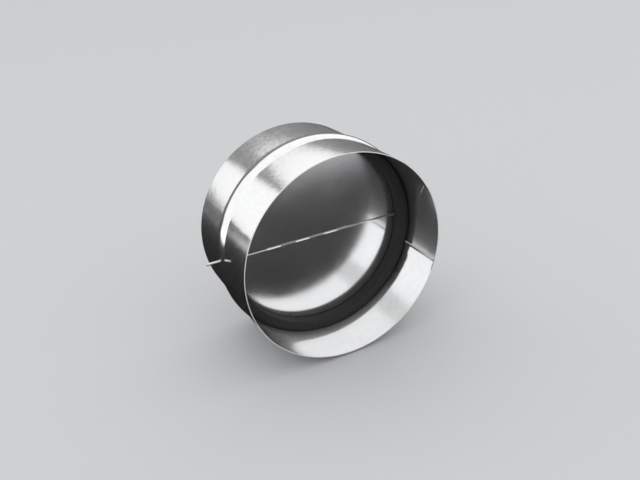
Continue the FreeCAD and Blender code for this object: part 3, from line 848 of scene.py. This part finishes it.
def add_painted_reflection_card():
    """A graded black card on the floor that only the bright sheet's reflections show: a painted reflection,
    darkest near the part as painted shade.
    """
    card, tree, shader = add_stage_plane("painted_reflection_card", CARD_HALF, -FLOOR_DEPTH + CARD_LIFT)
    card.visible_camera = False
    card.visible_diffuse = False
    card.visible_shadow = False
    spot = object_place(tree)
    axes = split_axes(tree, spot)
    turn = maths(tree, "ARCTAN2", axes["X"], axes["Y"])
    reach = vector_maths(tree, "LENGTH", spot).outputs["Value"]
    in_front = remap(tree, axes["Y"], 0.0, -0.13)
    at_left = remap(tree, axes["X"], 0.02, -0.04)

    # Behind the part it pales with distance from painted shade near the part, and most of all to the far left
    behind = CARD_BLACK
    for near, far, grey in CARD_BANDS:
        behind = blend_colour(tree, remap(tree, reach, near, far), behind, (grey, grey, CARD_BLUENESS * grey))
    # Painted light: a lit band far off to the left behind the part
    painted_lit = blend_colour(tree, remap(tree, reach, 0.6, 0.95), behind, CARD_PAINTED_LIGHT)
    behind = blend_colour(tree, remap(tree, turn, -0.61, -0.55, 1.0, 0.0), behind, painted_lit)

    # In front it pales towards the camera from painted shade near the part, later on the left
    rising = maths(tree, "POWER", remap(tree, axes["Y"], -0.235, -0.4), 2.0)
    before = blend_colour(tree, rising, CARD_FRONT_DARK, CARD_FRONT_PALE)
    left_before = blend_colour(tree, remap(tree, reach, 0.23, 0.45), CARD_LEFT_DARK, CARD_LEFT_PALE)
    before = blend_colour(tree, at_left, before, left_before)
    link(tree, blend_colour(tree, in_front, behind, before), shader, "Base Color")

    # Painted light: a glow on its far left parts, standing for the softboxes' light on them
    painted_glow = times(tree, times(tree, at_left, in_front), remap(tree, reach, 0.38, 0.55, 0.0, CARD_PAINTED_GLOW))
    painted_side_glow = times(tree, remap(tree, turn, -0.71, -0.65, CARD_PAINTED_GLOW, 0.0), remap(tree, reach, 0.6, 0.85))
    painted_side_glow = times(tree, painted_side_glow, minus(tree, 1.0, in_front))
    shader.inputs["Emission Color"].default_value = (1, 1, 1, 1)
    link(tree, larger(tree, painted_glow, painted_side_glow), shader, "Emission Strength")


def add_studio():
    """Soft light: a bright front wall, a softbox at the back left and one overhead, all else dimmer."""
    world = bpy.data.worlds.new("studio")
    bpy.context.scene.world = world
    world.use_nodes = True
    tree = world.node_tree

    def rise(value, edge):
        """Soft step from 0 to 1."""
        middle, half_width = edge
        return remap(tree, value, middle - half_width, middle + half_width)

    direction = add_node(tree, "ShaderNodeTexCoord").outputs["Generated"]
    axes = split_axes(tree, direction)
    to_right, to_back, to_top = axes["X"], axes["Y"], axes["Z"]
    turn = maths(tree, "ARCTAN2", to_right, to_back)
    front = rise(times(tree, to_back, -1.0), FRONT_EDGE)
    below = maths(tree, "MINIMUM", minus(tree, to_top, LEFT_SLANT_TOP), 0.0)
    left = rise(minus(tree, times(tree, below, LEFT_SLANT), turn), LEFT_EDGE)
    left = times(tree, left, rise(times(tree, to_right, -1.0), LEFT_SIDE))
    bow = times(tree, maths(tree, "POWER", larger(tree, to_right, 0.0), 2.0), OVERHEAD_BOW)
    tilt = times(tree, maths(tree, "MINIMUM", to_right, 0.0), OVERHEAD_TILT)
    overhead = rise(plus(tree, plus(tree, bow, tilt), to_top), OVERHEAD_EDGE)
    bright = larger(tree, larger(tree, front, left), overhead)
    dim = remap(tree, to_top, DIM_BOTTOM, DIM_TOP, DIM_LOW, DIM_HIGH)
    level = add_node(tree, "ShaderNodeMix", {0: bright, 2: dim, 3: BRIGHT_LEVEL}).outputs[0]

    # A dimmer gap between the front wall's panels, then less light for matt surfaces
    to_gap = vector_maths(tree, "DOT_PRODUCT", direction, GAP_WAY).outputs["Value"]
    level = times(tree, level, remap(tree, to_gap, GAP_RIM, GAP_CORE, 1.0, GAP_SHARE))
    diffuse_ray = add_node(tree, "ShaderNodeLightPath").outputs["Is Diffuse Ray"]
    level = times(tree, level, remap(tree, diffuse_ray, 0.0, 1.0, 1.0, DIFFUSE_SHARE))
    background = tree.nodes["Background"]
    background.inputs["Color"].default_value = (1, 1, 1, 1)
    link(tree, level, background, "Strength")


galvanised = galvanised_sheet()
aluminium = blade_sheet()
black_foam = foam()
pin_steel = wire("pin_steel", PIN_DARK, PIN_PALE, 0.2, 0.36, shade_share=0.8)
spring_steel = wire("spring_steel", SPRING_DARK, SPRING_PALE, 0.22, 0.38)
bare_edge = cut_edge()

casing = make_casing(galvanised, bare_edge)
lap = make_lap(galvanised, bare_edge)
for piece in (casing, lap):
    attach(piece, "casing")
    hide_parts("casing")

gasket = make_gasket(black_foam)
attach(gasket, "casing")
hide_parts("blade_gasket")

upper_blade = make_blade("blade_upper", UPPER_SLOTS, 1, aluminium)
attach(upper_blade, "upper_blade")
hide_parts("upper_blade")
lower_blade = make_blade("blade_lower", LOWER_SLOTS, -1, aluminium)
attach(lower_blade, "lower_blade")
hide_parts("lower_blade")

lower_spring, upper_spring = make_spring(spring_steel)
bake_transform(lower_spring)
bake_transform(upper_spring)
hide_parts("closing_spring")
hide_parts("closing_spring")

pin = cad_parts["hinge_pin"]
pin.data.materials.clear()
pin.data.materials.append(pin_steel)

add_camera()
add_stage_plane("floor", FLOOR_HALF, -FLOOR_DEPTH)
add_painted_reflection_card()
add_studio()
bpy.context.scene.view_settings.view_transform = "Standard"
